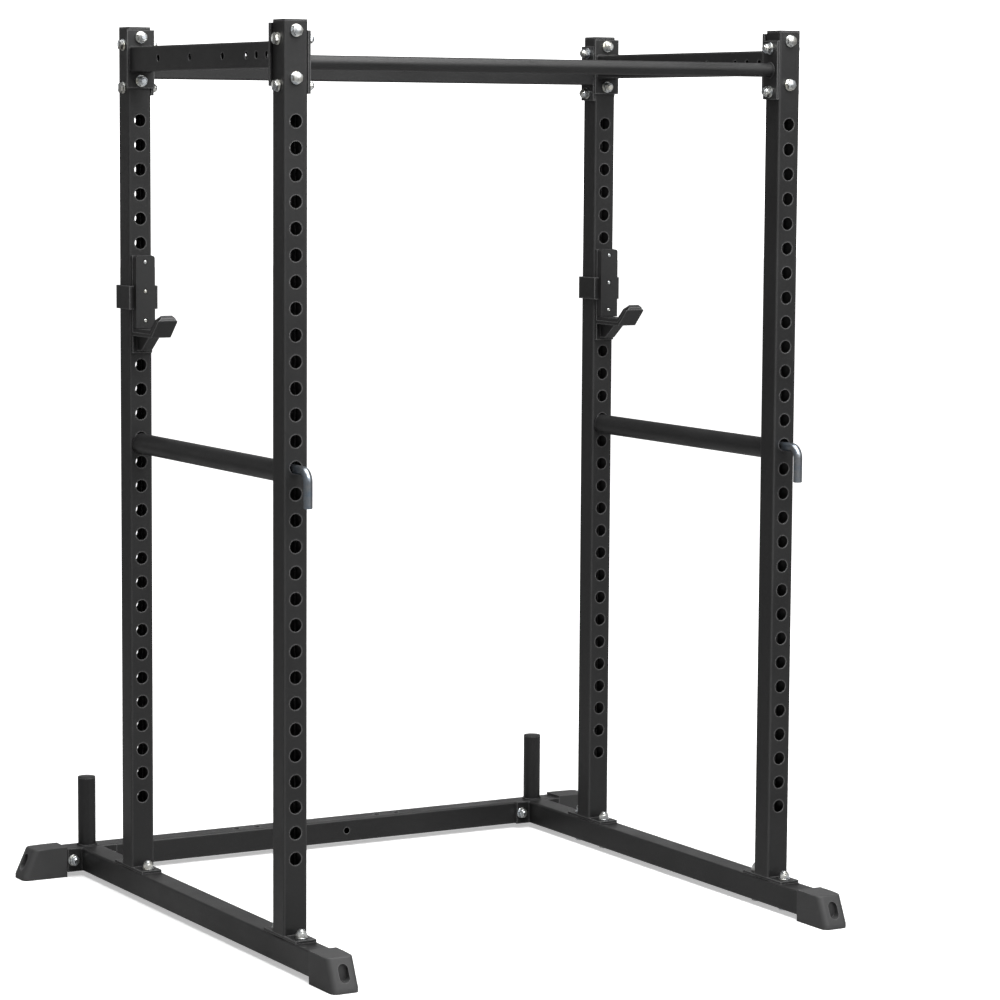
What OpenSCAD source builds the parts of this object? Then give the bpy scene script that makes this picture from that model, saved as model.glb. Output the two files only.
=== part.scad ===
// Power cage: four drilled uprights on a bolted base, tied at the top by two side
// beams, a rear beam and a pull-up bar, with two safety pipes hung on L-shaped pins
// and two bar hooks pegged into the rear uprights.
// X runs left to right, Y runs front to back, Z is up from the floor.

/* [Uprights] */
// Width of the cage over the outside of its uprights
cage_w = 1164; // [900:2:1400]
// Distance between the centre lines of the front and rear uprights
upright_spacing = 710; // [560:5:1100]
// Length of one upright tube
upright_h = 1736; // [1440:1:2300]
// Side of the square tube used for the whole frame
tube_side = 50; // [44:1:60]
// Wall of the square tube
tube_wall = 2; // [1.5:0.25:4]
// Outside corner radius of the square tube
tube_corner = 4; // [3:0.5:6]
// Diameter of the adjustment holes
hole_d = 25; // [18:0.5:27]
// Spacing of the adjustment holes
hole_pitch = 50; // [40:1:75]
// Height of the lowest adjustment hole above the foot plate
first_hole = 149; // [100:1:200]
// Undrilled length at the top of an upright
top_zone = 187; // [180:1:260]

/* [Base] */
// Width of the base over the rear shoes
base_w = 1430; // [1400:2:1800]
// From the nose of a front shoe to the front upright centre line
front_reach = 238; // [180:1:400]
// From the rear upright centre line to the rear crossmember centre line
rear_reach = 270; // [180:5:400]
// Air under the base rails
floor_gap = 11; // [10:0.5:20]
// Length of a rubber shoe
shoe_len = 100; // [80:1:120]
// Rubber thickness around the tube
shoe_wall = 4; // [3:0.5:6]
// How far the nose of a shoe leans back from its skirt to its top
shoe_lean = 27; // [15:1:32]
// Height of the upright skirt at the bottom of a shoe
shoe_skirt = 10; // [8:1:20]
// Length of an upright foot plate
foot_plate_l = 140; // [132:1:170]
// Width of an upright foot plate
foot_plate_w = 44; // [30:1:50]
// Width of the bolted plate at the rear end of a base rail
rail_plate_w = 114; // [110:1:170]
// Outside diameter of a storage post
post_d = 38; // [25:1:46]
// Height of a storage post
post_h = 147; // [100:1:300]
// Thickness of every welded steel plate
plate_t = 6; // [4:0.5:8]

/* [Top] */
// Height of the side beam centre below the top of the upright
side_beam_drop = 63; // [60:0.5:80]
// Height of the rear beam and pull-up bar centres below the side beam centre
cross_drop = 14.5; // [14:0.5:16]
// Distance between the two bolts of a side beam end plate
side_bolt_gap = 88; // [84:1:94]
// Distance between the two bolts of a rear beam or pull-up bar end plate
cross_bolt_gap = 87; // [84:1:94]
// Height of a top end plate
end_plate_h = 118; // [114:1:124]
// Width of a side beam end plate
side_plate_w = 60; // [50:1:64]
// Diameter of the pull-up bar
pull_bar_d = 28; // [25:1:40]
// Diameter of the accessory holes in the beams
accessory_d = 14; // [8:0.5:16]
// Spacing of the accessory holes along a side beam
accessory_pitch = 149; // [110:1:160]

/* [Fasteners] */
// Thread diameter of the frame bolts
bolt_d = 12; // [8:1:12]
// Width of bolt heads and nuts across their flats
hex_flats = 19; // [13:0.5:20]
// Outside diameter of a washer
washer_d = 24; // [18:0.5:26]
// Thickness of a washer
washer_t = 2.5; // [1.5:0.1:3]

/* [Safeties] */
// Diameter of a safety pin
pin_d = 18; // [12:0.5:20]
// How far a pin stands out of the front upright
pin_reach = 50; // [40:1:80]
// Drop of the bent end of a pin below its axis
pin_drop = 70; // [50:1:110]
// Outside diameter of a safety pipe
pipe_d = 42; // [36:0.5:60]
// Wall of a safety pipe
pipe_wall = 3; // [2:0.25:5]
// Adjustment hole that a safety pin goes through, counted from the lowest
safety_row = 15; // [2:1:17]

/* [Bar hooks] */
// Width of a hook plate and its saddle
hook_w = 44; // [36:1:48]
// Height of a hook plate
hook_h = 200; // [190:1:230]
// Thickness of the hook steel
hook_t = 8; // [5:0.5:9]
// Thickness of the plastic face pad
pad_t = 17; // [12:0.5:20]
// Thickness of the plastic saddle liner
liner_t = 7; // [4:0.5:9]
// Inside depth of the saddle from the face pad to the foot of the lip
saddle_depth = 70; // [50:1:90]
// Rise of the lip above the saddle steel
lip_rise = 36; // [24:1:44]
// How far the peg enters the upright
peg_len = 40; // [30:1:46]
// Thickness of the side cheeks that straddle the upright
cheek_t = 6; // [4:0.5:8]
// Height of the side cheeks
cheek_h = 48; // [36:1:60]
// How far the side cheeks reach back along the upright
cheek_reach = 52; // [30:1:56]
// Adjustment hole that a hook peg goes into, counted from the lowest
hook_row = 21; // [18:1:22]

/* [Hidden] */
$fn = 48;
corner_steps = 5;
bolt_hole = bolt_d + 1;       // clearance holes for the frame bolts
thread_fit = 0.05;            // radial gap between a thread and its nut
rest_gap = 0.3;               // gap where a loose piece rests on another
peg_fit = 1;                  // gap around a hook peg in its hole
cheek_fit = 0.6;              // gap between a hook cheek and the upright
cap_t = 2;                    // head of a plastic end cap
cap_fit = 0.2;                // gap around the plug of an end cap
cap_plug = 10;                // depth of the plug of an end cap
head_h = 7.5;                 // height of a bolt head
nut_h = 12;                   // height of a lock nut
nut_collar = 3.5;             // part of the nut that is the round nylon collar
thread_end = 3;               // thread that shows past a nut
post_wall = 2;
pull_bar_wall = 2.5;
shoe_nose_r = 15;             // rounding of the nose corners, seen from above
shoe_fit = 0.2;               // gap between a shoe and its tube
recess_w = 21;                // oval recess in the nose of a shoe
recess_h = 34;
recess_floor = 19;            // its flat floor, from the nose
recess_z = 36;                // its centre above the floor
foot_bolt_edge = 20;          // foot plate bolt to the end of its plate
cross_holes = [150, 200];     // accessory holes in the top of the rear crossmember
face_hole_x = 62;             // accessory holes in its front face
accessory_first = 62;         // first accessory hole from a side beam's front plate
accessory_side = 44;          // two more holes either side of the first
pin_bend_r = 20;              // centre line radius of a pin's bend
pin_tail = 12;                // pin past the rear upright
pipe_end_gap = 1.5;           // gap between a pipe and the uprights
pad_screw_d = 5;
pad_head_d = 8.6;
pad_head_t = 3.5;
pad_screw_z = [63, 3, -57];   // screws above and below the peg
hook_above = 76;              // hook plate above the peg axis
pad_bottom = -72;             // lower end of the face pad from the peg axis
cheek_centre = -10;           // centre of the side cheeks from the peg axis
lip_chamfer = 10;
gusset_w = 24;
gusset_reach = 60;
gusset_h = 30;

half_tube = tube_side / 2;
upright_x = cage_w / 2 - half_tube;
rail_top = floor_gap + tube_side;
foot_top = rail_top + plate_t;
cage_top = foot_top + upright_h;
rear_proud = max(shoe_wall, washer_t + head_h);
base_d = front_reach + upright_spacing + rear_reach + half_tube + rear_proud;
front_y = -base_d / 2 + front_reach;
rear_y = front_y + upright_spacing;
cross_y = rear_y + rear_reach;
peg_d = hole_d - 2 * peg_fit;
hole_count = floor((upright_h - first_hole - top_zone) / hole_pitch) + 1;
side_beam_z = cage_top - side_beam_drop;
cross_beam_z = side_beam_z - cross_drop;
rail_mid = floor_gap + half_tube;
nose_inset = shoe_lean + shoe_wall + 1;
rail_front = -base_d / 2 + nose_inset;
rail_rear = cross_y - half_tube - plate_t;
cross_half = base_w / 2 - nose_inset;
stack_grip = tube_side + plate_t;
foot_bolt_y = foot_plate_l / 2 - foot_bolt_edge;
rail_bolt_x = (rail_plate_w - washer_d) / 2;
rear_shoe_len = min(shoe_len, base_w / 2 - upright_x - rail_plate_w / 2 - 1);
safety_z = foot_top + first_hole + safety_row * hole_pitch;
pin_z = safety_z - (hole_d - pin_d) / 2 + rest_gap;
pipe_z = pin_z + pin_d / 2 + rest_gap - (pipe_d / 2 - pipe_wall);
hook_z = foot_top + first_hole + hook_row * hole_pitch - (hole_d - peg_d) / 2 + rest_gap;
hook_face_y = rear_y - half_tube;
pad_face = rest_gap + hook_t + pad_t;
saddle_top = pad_bottom - 1 - liner_t;
lip_foot = pad_face + saddle_depth;
lip_skew = hook_t * (sqrt(2) - 1);
liner_skew = liner_t * (sqrt(2) - 1);

// ---- shared shapes ----

// Points of a square with rounded corners, centred on the origin
function rounded_square(side, r) = [
    for (q = [0:3]) for (k = [0:corner_steps])
        let (a = 90 * q + 90 * k / corner_steps)
        let (cx = (q == 0 || q == 3 ? 1 : -1) * (side / 2 - r))
        let (cy = (q < 2 ? 1 : -1) * (side / 2 - r))
        [cx + r * cos(a), cy + r * sin(a)]];

// Square tube standing on z = 0
module square_tube(len) {
    linear_extrude(len) difference() {
        polygon(rounded_square(tube_side, tube_corner));
        polygon(rounded_square(tube_side - 2 * tube_wall, tube_corner - tube_wall));
    }
}

module round_tube(d, wall, len) {
    difference() {
        cylinder(d = d, h = len);
        translate([0, 0, -1]) cylinder(d = d - 2 * wall, h = len + 2);
    }
}

// Lays a shape that stands on z = 0 along +X or along +Y
module along_x() {
    rotate([0, 90, 0]) children();
}

module along_y() {
    rotate([-90, 0, 0]) children();
}

// Flat plate centred on the origin, drilled with two bolt holes along its height
module drilled_plate(w, h, gap) {
    difference() {
        translate([-w / 2, -h / 2, 0]) cube([w, h, plate_t]);
        for (s = [-1, 1]) translate([0, s * gap / 2, -1]) cylinder(d = bolt_hole, h = plate_t + 2);
    }
}

// ---- bolt stacks: z = 0 is the face under the head, the shank runs up ----

module stack_bolt(head_washer) {
    head_z = head_washer ? washer_t : 0;
    color("gainsboro") union() {
        translate([0, 0, -head_z - head_h]) cylinder(d = hex_flats / cos(30), h = head_h, $fn = 6);
        translate([0, 0, -head_z]) cylinder(d = bolt_d,
            h = head_z + stack_grip + washer_t + nut_h + thread_end);
    }
}

module washer() {
    difference() {
        cylinder(d = washer_d, h = washer_t);
        translate([0, 0, -1]) cylinder(d = bolt_hole, h = washer_t + 2);
    }
}

module stack_washers(head_washer) {
    color("silver") {
        if (head_washer) translate([0, 0, -washer_t]) washer();
        translate([0, 0, stack_grip]) washer();
    }
}

module stack_nut() {
    color("gainsboro") translate([0, 0, stack_grip + washer_t]) difference() {
        union() {
            cylinder(d = hex_flats / cos(30), h = nut_h - nut_collar, $fn = 6);
            cylinder(d = hex_flats - 1.5, h = nut_h);
        }
        translate([0, 0, -1]) cylinder(r = bolt_d / 2 + thread_fit, h = nut_h + 2);
    }
}

// Heads outside the cage, nuts on the end plates inside it
module at_side_beam_bolts() {
    for (sx = [-1, 1]) for (dz = [-1, 1])
        translate([sx * upright_x, 0, side_beam_z + dz * side_bolt_gap / 2]) {
            translate([0, front_y - half_tube, 0]) rotate([-90, 0, 0]) children();
            translate([0, rear_y + half_tube, 0]) rotate([90, 0, 0]) children();
        }
}

module at_cross_beam_bolts() {
    for (y = [front_y, rear_y]) for (dz = [-1, 1])
        translate([0, y, cross_beam_z + dz * cross_bolt_gap / 2]) {
            translate([-cage_w / 2, 0, 0]) rotate([0, 90, 0]) children();
            translate([cage_w / 2, 0, 0]) rotate([0, -90, 0]) children();
        }
}

module at_rail_plate_bolts() {
    for (sx = [-1, 1]) for (dx = [-1, 1])
        translate([sx * upright_x + dx * rail_bolt_x, cross_y + half_tube, rail_mid])
            rotate([90, 0, 0]) children();
}

module at_foot_plate_bolts() {
    for (sx = [-1, 1]) for (y = [front_y, rear_y]) for (dy = [-1, 1])
        translate([sx * upright_x, y + dy * foot_bolt_y, floor_gap]) children();
}

// ---- uprights ----

module upright(sx, y) {
    color("#202124") translate([sx * upright_x, y, foot_top]) difference() {
        union() {
            square_tube(upright_h);
            translate([-foot_plate_w / 2, -foot_plate_l / 2, -plate_t])
                cube([foot_plate_w, foot_plate_l, plate_t]);
        }
        for (k = [0:hole_count - 1]) translate([0, -half_tube - 1, first_hole + k * hole_pitch])
            along_y() cylinder(d = hole_d, h = tube_side + 2);
        for (dz = [-1, 1]) {
            translate([0, -half_tube - 1, upright_h - side_beam_drop + dz * side_bolt_gap / 2])
                along_y() cylinder(d = bolt_hole, h = tube_side + 2);
            translate([-half_tube - 1, 0, cross_beam_z - foot_top + dz * cross_bolt_gap / 2])
                along_x() cylinder(d = bolt_hole, h = tube_side + 2);
        }
        for (dy = [-1, 1]) translate([0, dy * foot_bolt_y, -plate_t - 1])
            cylinder(d = bolt_hole, h = plate_t + 2);
    }
}

// Plastic cap pushed into the top of an upright
module end_cap(sx, y) {
    plug = tube_side - 2 * tube_wall - 2 * cap_fit;
    color("#141415") translate([sx * upright_x, y, cage_top]) {
        linear_extrude(cap_t) polygon(rounded_square(tube_side, tube_corner));
        translate([0, 0, -cap_plug]) linear_extrude(cap_plug)
            polygon(rounded_square(plug, tube_corner - tube_wall));
    }
}

// ---- base ----

module base_rail(sx) {
    color("#202124") translate([sx * upright_x, 0, rail_mid]) {
        difference() {
            translate([0, rail_front, 0]) along_y() square_tube(rail_rear - rail_front);
            for (y = [front_y, rear_y]) for (dy = [-1, 1])
                translate([0, y + dy * foot_bolt_y, -half_tube - 1])
                    cylinder(d = bolt_hole, h = tube_side + 2);
        }
        translate([0, rail_rear, 0]) rotate([-90, 90, 0])
            drilled_plate(tube_side, rail_plate_w, 2 * rail_bolt_x);
    }
}

module rear_crossmember() {
    color("#202124") translate([0, cross_y, rail_mid]) difference() {
        translate([-cross_half, 0, 0]) along_x() square_tube(2 * cross_half);
        for (sx = [-1, 1]) {
            for (dx = [-1, 1]) translate([sx * upright_x + dx * rail_bolt_x, -half_tube - 1, 0])
                along_y() cylinder(d = bolt_hole, h = tube_side + 2);
            for (x = cross_holes) translate([sx * x, 0, 0]) cylinder(d = accessory_d, h = half_tube + 1);
            translate([sx * face_hole_x, -half_tube - 1, 0]) along_y()
                cylinder(d = accessory_d, h = half_tube);
        }
    }
}

module storage_post(sx) {
    color("#202124") translate([sx * upright_x, cross_y, rail_top]) round_tube(post_d, post_wall, post_h);
}

module post_cap(sx) {
    color("#141415") translate([sx * upright_x, cross_y, rail_top + post_h]) {
        cylinder(d = post_d, h = cap_t);
        translate([0, 0, -cap_plug]) cylinder(d = post_d - 2 * post_wall - 2 * cap_fit, h = cap_plug);
    }
}

// Rubber shoe with its nose at the origin and its tube running away along +Y
module shoe(len) {
    half_w = half_tube + shoe_wall;
    top = rail_top + shoe_wall;
    nose = [for (k = [0:corner_steps]) let (a = 90 * k / corner_steps)
        [half_w - shoe_nose_r + shoe_nose_r * sin(a), shoe_nose_r - shoe_nose_r * cos(a)]];
    tail = [for (k = [corner_steps:-1:0]) [-nose[k][0], nose[k][1]]];
    recess_side = (recess_h - recess_w) / 2;
    color("#17181a") difference() {
        intersection() {
            rotate([90, 0, 90]) linear_extrude(2 * half_w + 2, center = true)
                polygon([[0, 0], [0, shoe_skirt], [shoe_lean - 3, top - 4], [shoe_lean + 3, top],
                    [len, top], [len, 0]]);
            linear_extrude(top + 1)
                polygon(concat(nose, [[half_w, len + 1], [-half_w, len + 1]], tail));
        }
        translate([0, -1, recess_z]) {
            for (dz = [-recess_side, recess_side]) translate([0, 0, dz]) along_y()
                cylinder(d = recess_w, h = recess_floor + 1);
            translate([-recess_w / 2, 0, -recess_side])
                cube([recess_w, recess_floor + 1, 2 * recess_side]);
        }
        translate([0, nose_inset - shoe_fit, rail_mid]) along_y()
            linear_extrude(len) polygon(rounded_square(tube_side + 2 * shoe_fit, tube_corner));
    }
}

module front_shoe(sx) {
    translate([sx * upright_x, -base_d / 2, 0]) shoe(shoe_len);
}

module rear_shoe(sx) {
    translate([sx * base_w / 2, cross_y, 0]) rotate([0, 0, 90 * sx]) shoe(rear_shoe_len);
}

// ---- top ----

module side_beam(sx) {
    start = front_y + half_tube + plate_t;
    len = upright_spacing - tube_side - 2 * plate_t;
    first = start + accessory_first;
    holes = concat([for (k = [0:3]) first + k * accessory_pitch],
        [first - accessory_side, first + accessory_side]);
    color("#202124") translate([sx * upright_x, 0, side_beam_z]) {
        difference() {
            translate([0, start, 0]) along_y() square_tube(len);
            for (y = holes) translate([-half_tube - 1, y, 0]) along_x()
                cylinder(d = accessory_d, h = tube_side + 2);
        }
        for (y = [start - plate_t, start + len]) translate([0, y, 0])
            along_y() drilled_plate(side_plate_w, end_plate_h, side_bolt_gap);
    }
}

module cross_end_plates() {
    for (x = [-upright_x + half_tube, upright_x - half_tube - plate_t]) translate([x, 0, 0])
        rotate([90, 0, 90]) drilled_plate(tube_side, end_plate_h, cross_bolt_gap);
}

module rear_top_beam() {
    inner = upright_x - half_tube - plate_t;
    color("#202124") translate([0, rear_y, cross_beam_z]) {
        translate([-inner, 0, 0]) along_x() square_tube(2 * inner);
        cross_end_plates();
    }
}

module pull_up_bar() {
    inner = upright_x - half_tube - plate_t;
    color("#202124") translate([0, front_y, cross_beam_z]) {
        translate([-inner, 0, 0]) along_x() round_tube(pull_bar_d, pull_bar_wall, 2 * inner);
        cross_end_plates();
    }
}

// ---- safeties ----

module safety_pipe(sx) {
    len = upright_spacing - tube_side - 2 * pipe_end_gap;
    color("#202124") translate([sx * upright_x, front_y + half_tube + pipe_end_gap, pipe_z])
        along_y() round_tube(pipe_d, pipe_wall, len);
}

// Straight rod through both uprights, bent down in front of the cage
module safety_pin(sx) {
    leg_y = front_y - half_tube - pin_reach;
    rod_start = leg_y + pin_bend_r;
    rod_end = rear_y + half_tube + pin_tail;
    nose = 3;
    color("lightsteelblue") translate([sx * upright_x, 0, pin_z]) {
        translate([0, rod_start, 0]) along_y() cylinder(d = pin_d, h = rod_end - rod_start - nose);
        translate([0, rod_end - nose, 0]) along_y() cylinder(d1 = pin_d, d2 = pin_d - 2 * nose, h = nose);
        translate([0, rod_start, -pin_bend_r]) rotate([0, -90, 0])
            rotate([0, 0, -90]) rotate_extrude(angle = 90) translate([pin_bend_r, 0]) circle(d = pin_d);
        translate([0, leg_y, -pin_drop]) cylinder(d = pin_d, h = pin_drop - pin_bend_r);
    }
}

// ---- bar hooks, drawn forward of the upright face with the peg axis at z = 0 ----

module at_hook(sx) {
    translate([sx * upright_x, hook_face_y, hook_z]) children();
}

// Outline in (forward, up) swept over a width across the hook
module swept(points, w) {
    rotate([90, 0, -90]) linear_extrude(w, center = true) polygon(points);
}

// Takes the top corners off the lip
module clip_lip_corners(top) {
    difference() {
        children();
        for (s = [-1, 1]) translate([0, -lip_foot, 0]) rotate([90, 0, 0]) linear_extrude(3 * lip_rise)
            polygon([[s * (hook_w / 2 - lip_chamfer), top], [s * (hook_w / 2 + 1), top - lip_chamfer - 1],
                [s * (hook_w / 2 + 1), top + 1], [s * (hook_w / 2 - lip_chamfer), top + 1]]);
    }
}

module pad_screw_holes(from, to, d) {
    for (z = pad_screw_z) translate([0, -to, z]) along_y() cylinder(d = d, h = to - from);
}

module hook_bracket(sx) {
    lip_z = saddle_top + lip_rise;
    half_in = half_tube + cheek_fit;
    strap_face = rest_gap + hook_t + cheek_t;
    saddle = [[rest_gap, saddle_top - hook_t], [lip_foot + lip_skew, saddle_top - hook_t],
        [lip_foot + lip_skew + lip_rise, lip_z - hook_t],
        [lip_foot + lip_rise - hook_t * (1 - sqrt(0.5)) + lip_skew, lip_z - hook_t * (1 - sqrt(0.5))],
        [lip_foot, saddle_top], [rest_gap, saddle_top]];
    color("#1c1d1f") at_hook(sx) difference() {
        union() {
            translate([-hook_w / 2, -rest_gap - hook_t, hook_above - hook_h]) cube([hook_w, hook_t, hook_h]);
            clip_lip_corners(lip_z) swept(saddle, hook_w);
            swept([[rest_gap, saddle_top - 1], [rest_gap + hook_t + gusset_reach, saddle_top - hook_t],
                [rest_gap + hook_t + gusset_reach / 3, saddle_top - hook_t - gusset_h],
                [rest_gap, saddle_top - hook_t - gusset_h]], gusset_w);
            for (s = [-1, 1]) translate([s * (half_in + cheek_t / 2) - cheek_t / 2, -strap_face,
                cheek_centre - cheek_h / 2]) cube([cheek_t, strap_face + cheek_reach, cheek_h]);
            translate([-half_in - 1, -strap_face, cheek_centre - cheek_h / 2])
                cube([2 * half_in + 2, cheek_t, cheek_h]);
        }
        pad_screw_holes(2, pad_face, pad_screw_d);
    }
}

module hook_peg(sx) {
    nose = 2;
    color("lightsteelblue") at_hook(sx) {
        translate([0, -rest_gap, 0]) along_y() cylinder(d = peg_d, h = rest_gap + peg_len - nose);
        translate([0, peg_len - nose, 0]) along_y() cylinder(d1 = peg_d, d2 = peg_d - 2 * nose, h = nose);
    }
}

module hook_face_pad(sx) {
    pad_w = hook_w - 2;
    r = 6;
    top = hook_above;
    back = -rest_gap - hook_t;
    arc = [for (k = [0:corner_steps]) let (a = 90 * k / corner_steps)
        [pad_w / 2 - r + r * cos(a), top - r + r * sin(a)]];
    left = [for (k = [corner_steps:-1:0]) [-arc[k][0], arc[k][1]]];
    color("#121213") at_hook(sx) difference() {
        translate([0, back, 0]) rotate([90, 0, 0]) linear_extrude(pad_t)
            polygon(concat([[pad_w / 2, pad_bottom]], arc, left, [[-pad_w / 2, pad_bottom]]));
        translate([-pad_w, back - cheek_t - cap_fit, cheek_centre - cheek_h / 2 - cap_fit])
            cube([2 * pad_w, cheek_t + cap_fit + 1, cheek_h + 2 * cap_fit]);
        pad_screw_holes(0, pad_face + 1, pad_screw_d + 2 * cap_fit);
        pad_screw_holes(pad_face - pad_head_t - cap_fit, pad_face + 1, pad_head_d + 2 * cap_fit);
    }
}

module hook_saddle_liner(sx) {
    liner_w = hook_w - 2;
    lip_z = saddle_top + lip_rise;
    end_f = lip_foot + lip_rise - hook_t * (1 - sqrt(0.5)) + lip_skew;
    end_z = lip_z - hook_t * (1 - sqrt(0.5));
    liner = [[rest_gap + hook_t, saddle_top], [lip_foot, saddle_top], [end_f, end_z],
        [end_f - liner_t * sqrt(0.5), end_z + liner_t * sqrt(0.5)],
        [lip_foot - liner_skew, saddle_top + liner_t], [rest_gap + hook_t, saddle_top + liner_t]];
    color("#121213") at_hook(sx)
        clip_lip_corners(end_z + liner_t * sqrt(0.5) - cap_fit) swept(liner, liner_w);
}

module hook_screws(sx) {
    shank_end = 2;
    color("gainsboro") at_hook(sx) for (z = pad_screw_z) translate([0, 0, z]) {
        translate([0, -pad_face, 0]) along_y() cylinder(d = pad_head_d, h = pad_head_t);
        translate([0, -pad_face + pad_head_t, 0]) along_y()
            cylinder(r = pad_screw_d / 2 - thread_fit, h = pad_face - pad_head_t - shank_end);
    }
}

// ---- nodes ----

upright(-1, front_y);  // upright_front_left
upright(1, front_y);  // upright_front_right
upright(-1, rear_y);  // upright_rear_left
upright(1, rear_y);  // upright_rear_right
end_cap(-1, front_y);  // end_cap_front_left
end_cap(1, front_y);  // end_cap_front_right
end_cap(-1, rear_y);  // end_cap_rear_left
end_cap(1, rear_y);  // end_cap_rear_right
base_rail(-1);  // base_rail_left
base_rail(1);  // base_rail_right
rear_crossmember();
storage_post(-1);  // storage_post_left
storage_post(1);  // storage_post_right
post_cap(-1);  // post_cap_left
post_cap(1);  // post_cap_right
front_shoe(-1);  // shoe_front_left
front_shoe(1);  // shoe_front_right
rear_shoe(-1);  // shoe_rear_left
rear_shoe(1);  // shoe_rear_right
side_beam(-1);  // side_beam_left
side_beam(1);  // side_beam_right
rear_top_beam();
pull_up_bar();
at_side_beam_bolts() stack_bolt(true);  // side_beam_bolts
at_side_beam_bolts() stack_washers(true);  // side_beam_washers
at_side_beam_bolts() stack_nut();  // side_beam_nuts
at_cross_beam_bolts() stack_bolt(true);  // cross_beam_bolts
at_cross_beam_bolts() stack_washers(true);  // cross_beam_washers
at_cross_beam_bolts() stack_nut();  // cross_beam_nuts
at_rail_plate_bolts() stack_bolt(true);  // rail_plate_bolts
at_rail_plate_bolts() stack_washers(true);  // rail_plate_washers
at_rail_plate_bolts() stack_nut();  // rail_plate_nuts
at_foot_plate_bolts() stack_bolt(false);  // foot_plate_bolts
at_foot_plate_bolts() stack_washers(false);  // foot_plate_washers
at_foot_plate_bolts() stack_nut();  // foot_plate_nuts
safety_pipe(-1);  // safety_pipe_left
safety_pipe(1);  // safety_pipe_right
safety_pin(-1);  // safety_pin_left
safety_pin(1);  // safety_pin_right
hook_bracket(-1);  // hook_bracket_left
hook_bracket(1);  // hook_bracket_right
hook_peg(-1);  // hook_peg_left
hook_peg(1);  // hook_peg_right
hook_face_pad(-1);  // hook_face_pad_left
hook_face_pad(1);  // hook_face_pad_right
hook_saddle_liner(-1);  // hook_saddle_liner_left
hook_saddle_liner(1);  // hook_saddle_liner_right
hook_screws(-1);  // hook_screws_left
hook_screws(1);  // hook_screws_right
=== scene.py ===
# Power cage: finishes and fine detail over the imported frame. Units are metres.
import math

import bpy
import bmesh
from mathutils import Matrix, Vector


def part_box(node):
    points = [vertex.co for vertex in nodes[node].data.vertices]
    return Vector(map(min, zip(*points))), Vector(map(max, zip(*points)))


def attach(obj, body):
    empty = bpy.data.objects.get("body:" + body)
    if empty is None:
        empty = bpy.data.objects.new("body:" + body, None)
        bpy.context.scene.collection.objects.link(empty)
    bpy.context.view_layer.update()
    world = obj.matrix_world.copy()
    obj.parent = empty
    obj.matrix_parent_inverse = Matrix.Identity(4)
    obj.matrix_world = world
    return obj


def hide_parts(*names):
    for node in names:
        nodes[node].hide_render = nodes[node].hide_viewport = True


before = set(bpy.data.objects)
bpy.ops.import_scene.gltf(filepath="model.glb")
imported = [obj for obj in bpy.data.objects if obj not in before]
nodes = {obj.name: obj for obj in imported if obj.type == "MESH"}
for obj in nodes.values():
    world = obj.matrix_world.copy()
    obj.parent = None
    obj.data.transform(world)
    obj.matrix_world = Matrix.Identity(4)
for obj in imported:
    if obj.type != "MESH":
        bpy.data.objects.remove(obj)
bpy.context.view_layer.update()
mm = 0.001
sides = {"left": -1, "right": 1}


# Camera, floor and light

view = {"azimuth": -29.968, "elevation": 6.092, "roll": 0.389, "distance": 7.1, "lens": 125.91, "sensor": 36,
        "aim": (0.0247, -0.176, 0.8546)}
ground = {"size": 60.0, "tone": 0.86, "mottle": 0.02, "mirrored": 0.33, "roughness": 0.7, "glow": 0.42,
          "fadeFrom": 1.6, "fadeTo": 3.4}
sky = {"near": 0.42, "far": 0.12, "nearTowards": (-0.25, -0.8), "nearRange": (-0.6, 0.6),
       "band": 1.9, "bandTowards": (0.5, 0.87), "bandRange": (0.62, 0.94), "bandHeight": 0.32}
softboxes = {
    "keyLight": {"azimuth": 0, "elevation": 48, "distance": 5.0, "size": (3.0, 3.0), "power": 270.0},
    "fillLight": {"azimuth": 25, "elevation": 25, "distance": 6.0, "size": (3.0, 3.0), "power": 50.0},
    "topLight": {"azimuth": -30, "elevation": 85, "distance": 4.5, "size": (4.0, 4.0), "power": 260.0}}
lightAim = Vector((0, 0, 0.9))


def lookingFrom(azimuth, elevation, roll):
    # Rotation of something that looks back at the cage from that azimuth and elevation
    back = Vector((math.sin(azimuth) * math.cos(elevation), -math.cos(azimuth) * math.cos(elevation),
                   math.sin(elevation)))
    turn = back.to_track_quat("Z", "Y")
    return back, (turn.to_matrix() @ Matrix.Rotation(roll, 3, "Z")).to_euler()


def addCamera():
    back, turn = lookingFrom(math.radians(view["azimuth"]), math.radians(view["elevation"]),
                             math.radians(view["roll"]))
    bpy.ops.object.camera_add(location=Vector(view["aim"]) + back * view["distance"], rotation=turn)
    camera = bpy.context.object
    camera.name = "camera"
    camera.data.lens = view["lens"]
    camera.data.sensor_width = view["sensor"]
    bpy.context.scene.camera = camera


def addSoftbox(name, azimuth, elevation, distance, size, power):
    back, turn = lookingFrom(math.radians(azimuth), math.radians(elevation), 0)
    bpy.ops.object.light_add(type="AREA", location=lightAim + back * distance, rotation=turn)
    lamp = bpy.context.object
    lamp.name = name
    lamp.data.shape = "RECTANGLE"
    lamp.data.size = size[0]
    lamp.data.size_y = size[1]
    lamp.data.energy = power


def leaning(tree, split, x, y):
    # How far a direction leans towards x, y
    return mathNode(tree, "ADD", mathNode(tree, "MULTIPLY", split.outputs["Y"], y),
                    mathNode(tree, "MULTIPLY", split.outputs["X"], x))


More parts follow.
